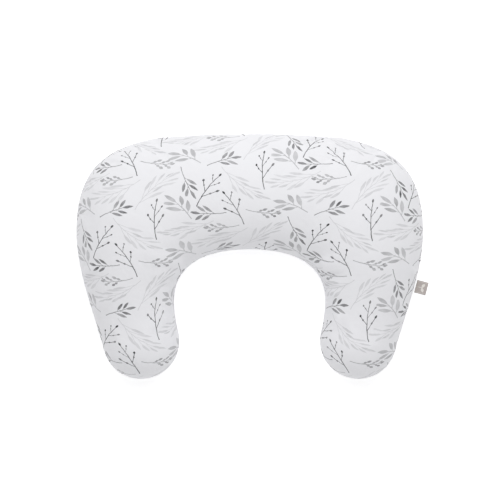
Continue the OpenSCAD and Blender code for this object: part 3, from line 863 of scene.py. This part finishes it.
# ---- drag folds ----
# where on the U (t), how far from the outer seam (degrees), lean from straight across (degrees), then
# height, width and half length (mm); each is made on both arms with a little seeded variety
FOLDS = [
    (0.44, 150, 8, 3.0, 8.5, 36), (0.5, 146, -6, 3.5, 9.5, 42), (0.56, 150, -16, 3.2, 8.5, 38),
    (0.62, 152, -24, 2.6, 7.5, 32), (0.38, 154, 18, 2.2, 7.5, 29), (0.69, 150, -30, 2.1, 7.5, 27),
    (0.3, 156, 6, 1.6, 7.5, 25), (0.2, 156, -8, 1.3, 8.5, 23), (0.78, 146, 34, 1.9, 8.5, 27),
    (0.9, 140, 40, 1.8, 8.5, 25), (0.08, 157, 4, 1.1, 8.5, 21), (0.52, 118, -4, 1.6, 13.5, 32),
    (0.74, 34, -34, 1.8, 8.5, 27), (0.86, 38, -42, 1.9, 9.5, 27), (0.6, 30, 24, 1.4, 8.5, 25),
    (0.96, 60, 70, 1.6, 10.5, 27), (0.34, 26, -12, 1.3, 8.5, 23), (0.95, 110, -64, 1.4, 9.5, 23),
    (0.24, 30, 16, 1.1, 8.5, 21),
]
FOLD_CURVE = 6
FOLD_SPREAD = 4.0
VALLEY_DEPTH = 0.55
VALLEY_AT = 1.7
VALLEY_WIDTH = 1.3


def away_from_zip(points):
    """1 on the cloth away from the zip, easing to 0 beside it."""
    return 1 - smooth((WINDOW_END + 0.01 - np.abs(points[..., 0])) / 0.02) * (points[..., 1] > 0.03)


def drag_folds(points, flat, rows, angles, up, seed):
    """Soft ridges with a shallow valley beside them, where the seam pulls the cloth round the bends."""
    rng = np.random.default_rng(seed)
    normal = normals_of(points, up)
    lift = np.zeros(points.shape[:2])
    for t, around, lean, height, wide, long in FOLDS:
        for side in (-1, 1):
            t1 = t + rng.uniform(-0.015, 0.015)
            i = int(np.argmin(np.abs(rows["t"] - t1) + (rows["side"] != side) * 9 + (rows["tip"] > 0) * 9))
            j = int(np.argmin(np.abs(angles - radians(around + rng.uniform(-4, 4)))))
            across = flat[i, min(j + 3, flat.shape[1] - 1)] - flat[i, j - 3]
            way = math.atan2(across[1], across[0]) + side * radians(lean + rng.uniform(-9, 9))
            d = flat - flat[i, j]
            v = d[..., 0] * math.cos(way) + d[..., 1] * math.sin(way)
            u = d[..., 1] * math.cos(way) - d[..., 0] * math.sin(way)
            u = u - FOLD_CURVE * rng.uniform(-1, 1) * v * v
            w = wide * rng.uniform(0.85, 1.15) / 1000 * (1 + FOLD_SPREAD * np.clip(-v, 0, 0.06))
            reach = long * rng.uniform(0.8, 1.2) / 1000
            valley_side = 1 if rng.random() < 0.5 else -1
            valley = np.exp(-((u - VALLEY_AT * valley_side * w) / (VALLEY_WIDTH * w)) ** 2)
            ridge = np.exp(-(u / w) ** 2) - VALLEY_DEPTH * valley
            lift += height * rng.uniform(0.8, 1.15) / 1000 * ridge * smooth(1.25 * (1 - np.abs(v) / reach))
    th = np.minimum(angles, math.pi - angles)[None, :]
    off_seam = smooth(th / radians(14))
    off_floor = smooth((points[..., 2] - 0.002) / 0.012)
    moved = points + normal * (lift * off_seam * away_from_zip(points) * off_floor)[..., None]
    moved[..., 2] = np.maximum(moved[..., 2], 0)
    return moved


PUCKER_PITCH = 0.011
PUCKER_DEPTH = 0.0007


def pucker(points, run, angles, normal):
    """Small gathers beside the seam, fading away from it; the seam itself stays where it is."""
    th = np.minimum(angles, math.pi - angles)[None, :]
    run = run[:, None]
    near = np.clip(1 - th / radians(26), 0, 1) ** 2 * smooth(th / radians(4))
    inner_side = (angles > math.pi / 2)[None, :]
    phase = run / PUCKER_PITCH * math.tau
    wave = np.sin(phase + 1.7 * np.sin(run / 0.047) + inner_side * 1.3) + 0.5 * np.sin(phase * 0.41 + 2.1)
    depth = PUCKER_DEPTH * (0.55 + 0.45 * np.sin(run / 0.031 + 0.9) ** 2)
    return points + normal * (depth * wave * near * away_from_zip(points))[..., None]


# the back panel is cut elsewhere on the same printed cloth, seen from its own side
CUT_SHIFT = np.array([0.064, 0.041])
rows = stations()
angles = np.linspace(0, math.pi, ACROSS + 1)
top_cut, under_cut = panel(rows, angles, 1), panel(rows, angles, -1)
top, under = settle(top_cut, under_cut, rows, angles)
top_shift, under_shift = top - top_cut, under - under_cut
row_run = np.concatenate([[0], np.cumsum(norm(np.diff(rows["centre"], axis=0), axis=1))])
row_run = row_run + 0.004 * np.arange(len(row_run)) * (rows["tip"] > 0)
fine_run = np.interp(np.arange(2 * len(row_run) - 1) / 2, np.arange(len(row_run)), row_run)
fine_angles = np.linspace(0, math.pi, 2 * ACROSS + 1)

for name, cut_points, settled, up, seed in (
    ("cover_front", top_cut, top, 1, 21),
    ("cover_back", under_cut, under, -1, 22),
):
    flat = flat_cut(cut_points) * [up, 1] + (CUT_SHIFT if up < 0 else 0)
    settled = drag_folds(settled, flat, rows, angles, up, seed)
    inside = settled - COVER_T * normals_of(settled, up)
    inside[..., 2] = np.maximum(inside[..., 2], COVER_T * 0.6)
    outer = settled
    if up > 0:
        outer = finer(settled)
        outer = pucker(outer, fine_run, fine_angles, normals_of(outer, up))
    piece = shell(name, outer, inside, up)
    lay_uv(piece.data, "cut", stacked(finer(flat) if up > 0 else flat, flat))
    paint_cloth(piece.data)
    dress(piece, name, nodes=(name + "_panel",))

LINER_IN = 0.0025
LINER_T = 0.0008
LINER_Y = ZIP_Y - 0.0033
LINER_FLAT = 0.0145
FILL_IN = 0.0037
FILL_Y = LINER_Y - LINER_T - 0.0003


def lining(inset, back_y, up, shift):
    """A panel that follows the settled cover from inside, on every second row and column."""
    return (panel(rows, angles, up, inset, back_y, LINER_FLAT, 0.0) + shift)[::2, ::2]


for name, shift, up in (("liner_front", top_shift, 1), ("liner_back", under_shift, -1)):
    outer = lining(LINER_IN, LINER_Y, up, shift)
    inner = lining(LINER_IN + LINER_T, LINER_Y - LINER_T, up, shift)
    dress(shell(name, outer, inner, up), "liner", nodes=(name + "_panel",))


def filling():
    """The fibre filling as one closed form inside the liner."""
    top_in = lining(FILL_IN, FILL_Y, 1, top_shift)
    under_in = lining(FILL_IN, FILL_Y, -1, under_shift)
    n, m = top_in.shape[:2]
    faces = grid_faces(n, m, 1).tolist() + grid_faces(n, m, -1, n * m).tolist()
    obj = mesh_object("fibre_filling", stacked(top_in, under_in), faces)
    work = bmesh.new()
    work.from_mesh(obj.data)
    bmesh.ops.remove_doubles(work, verts=work.verts, dist=2e-6)
    work.to_mesh(obj.data)
    work.free()
    return dress(obj, "fill", nodes=("fibre_fill",))


filling()


# ---- zip ----
def ring_faces(rings, size):
    """Four-sided faces between closed rings of points, each with size points."""
    return [[b + k, b + (k + 1) % size, b + size + (k + 1) % size, b + size + k]
            for b in range(0, (rings - 1) * size, size) for k in range(size)]


def tube(path, radius, sides):
    """Points and faces of a round tube along a path, with closed ends."""
    path = np.asarray(path)
    ahead = np.gradient(path, axis=0)
    ahead /= norm(ahead, axis=1, keepdims=True)
    up = np.array([0.0, 1.0, 0.0])
    side = np.cross(ahead, up)
    weak = norm(side, axis=1) < 0.2
    side[weak] = np.cross(ahead[weak], [0.0, 0.0, 1.0])
    side /= norm(side, axis=1, keepdims=True)
    over = np.cross(side, ahead)
    a = np.arange(sides) / sides * math.tau
    radius = np.broadcast_to(radius, (len(path),))[:, None, None]
    ring = np.cos(a)[None, :, None] * side[:, None] + np.sin(a)[None, :, None] * over[:, None]
    points = (path[:, None] + radius * ring).reshape(-1, 3)
    faces = ring_faces(len(path), sides)
    faces.append(list(range(sides))[::-1])
    faces.append([(len(path) - 1) * sides + k for k in range(sides)])
    return points, faces


def joined(parts):
    """Several (points, faces) pairs as one."""
    points, faces, start = [], [], 0
    for p, f in parts:
        points.append(p)
        faces.extend([start + v for v in face] for face in f)
        start += len(p)
    return np.concatenate(points), faces


TAPE_FACE = 0.0855
COIL_PITCH = 0.002
COIL_WIRE = 0.00036
COIL_MIDDLE = 0.00115
COIL_SWING = 0.00185
COIL_PROUD = 0.00095
COIL_ROUND = 0.00057
COIL_LEAN = 0.12
COIL_STEPS = 12
for name, sign, phase in (("upper", 1, 0.0), ("lower", -1, math.pi)):
    turns = int(round(2 * ZIP_HALF / COIL_PITCH)) - 1
    u = np.arange(turns * COIL_STEPS + 1) / COIL_STEPS
    angle = u * math.tau + phase
    x = -ZIP_HALF + COIL_WIRE + u * COIL_PITCH + COIL_PITCH * COIL_LEAN * np.sin(2 * angle)
    y = TAPE_FACE + COIL_PROUD + COIL_ROUND * np.sin(angle)
    z = SEAM_Z + sign * (COIL_MIDDLE - COIL_SWING * np.cos(angle))
    coil = mesh_object("zip_coil_turns_" + name, *tube(np.stack([x, y, z], 1), COIL_WIRE, 6))
    dress(coil, "zip_coil", nodes=("zip_coil_" + name,))

STITCH_PITCH = 0.004
STITCH_LENGTH = 0.0028
STITCH_ROW = 0.0064
STITCH_R = 0.00026
STITCH_RISE = 0.00030
STITCH_SUNK = 0.00008
STITCH_STEPS = 7
STITCHES_EACH_WAY = 28
stitch_parts = []
for side in (1, -1):
    for k in range(-STITCHES_EACH_WAY, STITCHES_EACH_WAY + 1):
        u = np.linspace(0, 1, STITCH_STEPS)
        x = k * STITCH_PITCH + (u - 0.5) * STITCH_LENGTH
        y = ZIP_Y + STITCH_RISE * np.sin(u * math.pi) - STITCH_SUNK
        z = np.full(STITCH_STEPS, SEAM_Z + side * STITCH_ROW)
        radius = STITCH_R * (0.55 + 0.45 * np.sin(u * math.pi))
        stitch_parts.append(tube(np.stack([x, y, z], 1), radius, 8))
dress(mesh_object("zip_stitch_rows", *joined(stitch_parts)), "thread_white", nodes=("zip_stitching",))


# ---- side label ----
LABEL_PLY = 0.00032
LABEL_FOLD = 0.00042
LABEL_COLUMNS = 13


def side_label():
    """Woven ribbon folded in half, fold outwards, with its two ends caught in the seam."""
    hinge = next(j for j in frame["joints"] if j["name"] == "label_flap")
    at, along = np.array(hinge["pos_m"]), np.array(hinge["axis"])
    out = np.array([-along[1], along[0], 0.0])
    if out[0] < 0:
        out = -out
    reach = LABEL_REACH - 0.0004
    s = np.linspace(0, 1, 15)
    belly = 0.00030 * np.sin(s * math.pi) ** 1.5
    flat_out = LABEL_ROOT + s * (reach - LABEL_ROOT - LABEL_FOLD)
    flat_top = np.stack([flat_out, LABEL_FOLD * (0.75 + 0.25 * s) + belly], 1)
    bend = np.linspace(math.pi / 2, -math.pi / 2, 9)[1:-1]
    nose = np.stack([reach - LABEL_FOLD + LABEL_FOLD * np.cos(bend), LABEL_FOLD * np.sin(bend)], 1)
    line = np.concatenate([flat_top, nose, flat_top[::-1] * [1, -1]])
    tangent = np.gradient(line, axis=0)
    tangent /= norm(tangent, axis=1, keepdims=True)
    left = np.stack([-tangent[:, 1], tangent[:, 0]], 1)
    profile = np.concatenate([line + left * LABEL_PLY / 2, (line - left * LABEL_PLY / 2)[::-1]])
    outward = profile[:, 0] / reach
    points, ribbon = [], []
    for w in np.linspace(-0.5, 0.5, LABEL_COLUMNS) * LABEL_WIDTH:
        curl = -0.0016 * outward ** 2 + 0.0008 * outward ** 2 * math.cos(w / LABEL_WIDTH * 3)
        wave = 0.00035 * math.sin(w / LABEL_WIDTH * 5 + 0.6) * outward
        rise = (profile[:, 1] + curl + wave)[:, None]
        points.append(at + out * profile[:, :1] + along * w + np.array([0, 0, 1.0]) * rise)
        ribbon.append(np.stack([profile[:, 0], np.full(len(profile), w)], 1))
    count = len(profile)
    faces = ring_faces(LABEL_COLUMNS, count)
    half = count // 2
    for i in (0, LABEL_COLUMNS - 1):
        for k in range(half - 1):
            cap = [i * count + k, i * count + k + 1, i * count + count - 2 - k, i * count + count - 1 - k]
            faces.append(cap if i == 0 else cap[::-1])
    obj = mesh_object("side_label_ribbon", np.concatenate(points), faces)
    lay_uv(obj.data, "ribbon", np.concatenate(ribbon))
    work = bmesh.new()
    work.from_mesh(obj.data)
    bmesh.ops.recalc_face_normals(work, faces=work.faces)
    work.to_mesh(obj.data)
    work.free()
    dress(obj, "label", "side_label", ("side_label",))


side_label()

# ---- pieces kept from the frame, with softened edges and their own materials ----
KEPT = {
    "cover_seam_thread": ("thread_white", 0), "liner_seam_thread": ("thread_white", 0),
    "zip_tape_upper": ("zip_tape", 0.0001), "zip_tape_lower": ("zip_tape", 0.0001),
    "zip_top_stops": ("zip_stop", 0.0003), "zip_bottom_stop": ("zip_stop", 0.0003),
    "zip_slider": ("zip_metal", 0.00022), "zip_puller": ("zip_metal", 0.00018),
    "side_label_tail": ("label_plain", 0), "care_label": ("care", 0),
}
for node, (finish_name, bevel) in KEPT.items():
    obj = frame["nodes"][node]
    for slot in obj.material_slots:
        slot.material = MATERIALS[finish_name]
    if bevel:
        soften = obj.modifiers.new("softened_edges", "BEVEL")
        soften.width = bevel
        soften.segments = 2
        soften.limit_method = "ANGLE"
        soften.angle_limit = radians(40)


# ---- floor, light and camera ----
FLOOR_GLOW = 0.36
FLOOR_HALF = 14.0
FLOOR_DROP = 0.0005
WORLD_LIGHT = 0.55


def stage_material():
    """Pale matt floor, glowing a little so that it stays white beside the pillow."""
    m = Shade("pale_floor")
    haze = m.noise(m.place(), 3.0, 2.0)
    color = m.mix(haze, grey(0.93), grey(0.95))
    m.bsdf.inputs["Emission Color"].default_value = (1, 1, 1, 1)
    m.bsdf.inputs["Emission Strength"].default_value = FLOOR_GLOW
    return m.finish(color, 0.9, specular=0.1)


floor_corners = [(x * FLOOR_HALF, y * FLOOR_HALF, 0) for x, y in ((-1, -1), (1, -1), (1, 1), (-1, 1))]
floor = mesh_object("pale_floor", floor_corners, [(0, 1, 2, 3)])
floor.location.z = -FLOOR_DROP
floor.data.materials.append(stage_material())

world = bpy.data.worlds.new("studio")
scene.world = world
world.use_nodes = True
sky = world.node_tree.nodes["Background"]
sky.inputs["Color"].default_value = (1, 1, 1, 1)
sky.inputs["Strength"].default_value = WORLD_LIGHT


def area_light(name, place, aim, size, power):
    """Soft light aimed at a point, unseen by the camera."""
    data = bpy.data.lights.new(name, "AREA")
    data.shape = "RECTANGLE"
    data.size, data.size_y = size
    data.energy = power
    obj = bpy.data.objects.new(name, data)
    obj.location = place
    obj.rotation_euler = (Vector(aim) - Vector(place)).to_track_quat("-Z", "Y").to_euler()
    obj.visible_camera = False
    scene.collection.objects.link(obj)


area_light("back_softbox", (0.0, 1.30, 1.95), (0.0, -0.02, 0.05), (2.4, 1.2), 22.5)
area_light("band_softbox", (0.0, 0.16, 1.40), (0.0, 0.02, 0.10), (0.9, 0.25), 2.6)
area_light("front_fill", (0.4, -2.4, 2.6), (0.0, -0.1, 0.05), (3.0, 2.0), 12)

VIEW_WIDTH = 0.8215
VIEW_CENTRE = (0.0005, -0.097)
CAMERA_HEIGHT = 5.5
VIEW_LEVEL = 0.07
SENSOR = 36.0
optics = bpy.data.cameras.new("photo_camera")
optics.sensor_width = SENSOR
optics.lens = SENSOR * (CAMERA_HEIGHT - VIEW_LEVEL) / VIEW_WIDTH
optics.clip_end = 60
camera = bpy.data.objects.new("photo_camera", optics)
camera.location = (*VIEW_CENTRE, CAMERA_HEIGHT)
scene.collection.objects.link(camera)
bpy.context.scene.camera = camera
scene.view_settings.view_transform = "Standard"
